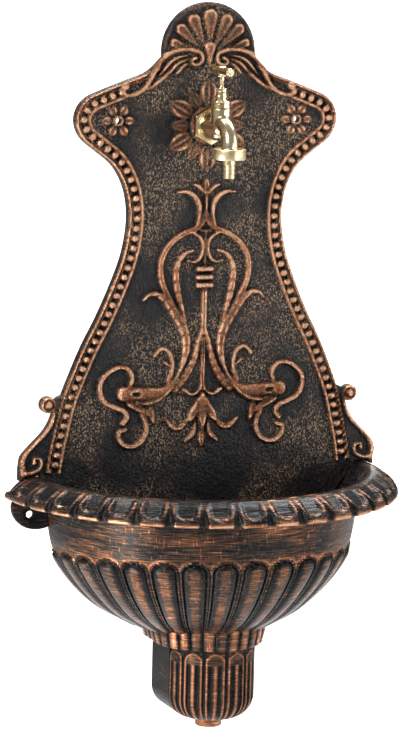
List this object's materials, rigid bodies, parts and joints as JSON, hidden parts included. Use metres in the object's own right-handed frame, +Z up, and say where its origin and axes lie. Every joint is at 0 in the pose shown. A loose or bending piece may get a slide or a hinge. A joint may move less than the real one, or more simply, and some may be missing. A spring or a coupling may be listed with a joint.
{
  "type": "wall fountain",
  "caption": "Wall fountain with a relief back plate, gadrooned half-bowl basin, fluted drain cover and a brass T-handle tap.",
  "frame": {"origin": "on the wall plane behind the back plate, on its centre line, 300 mm below the top of the shell crest", "axes": "+X to the right seen from the front, +Y into the wall, +Z up"},
  "size_m": [0.396, 0.1938, 0.7015],
  "materials": {
    "cast_metal": "black paint rubbed with copper on the raised relief, satin",
    "brass": "polished"
  },
  "bodies": {
    "fountain": {"back_plate": "cast_metal", "basin": "cast_metal", "drain_cover": "cast_metal", "tap_body": "brass", "tap_bonnet": "brass", "tap_gland_nut": "brass", "tap_coupling_nut": "brass", "tap_hose_tail": "brass"},
    "handle": {"tap_spindle": "brass", "tap_handle": "brass"}
  },
  "joints": [
    {"name": "tap_handle_turn", "type": "hinge", "parent": "fountain", "child": "handle", "pos_m": [0, -0.04, 0.23], "axis": [0, 0, 1], "range_deg": [0, 630]}
  ]
}
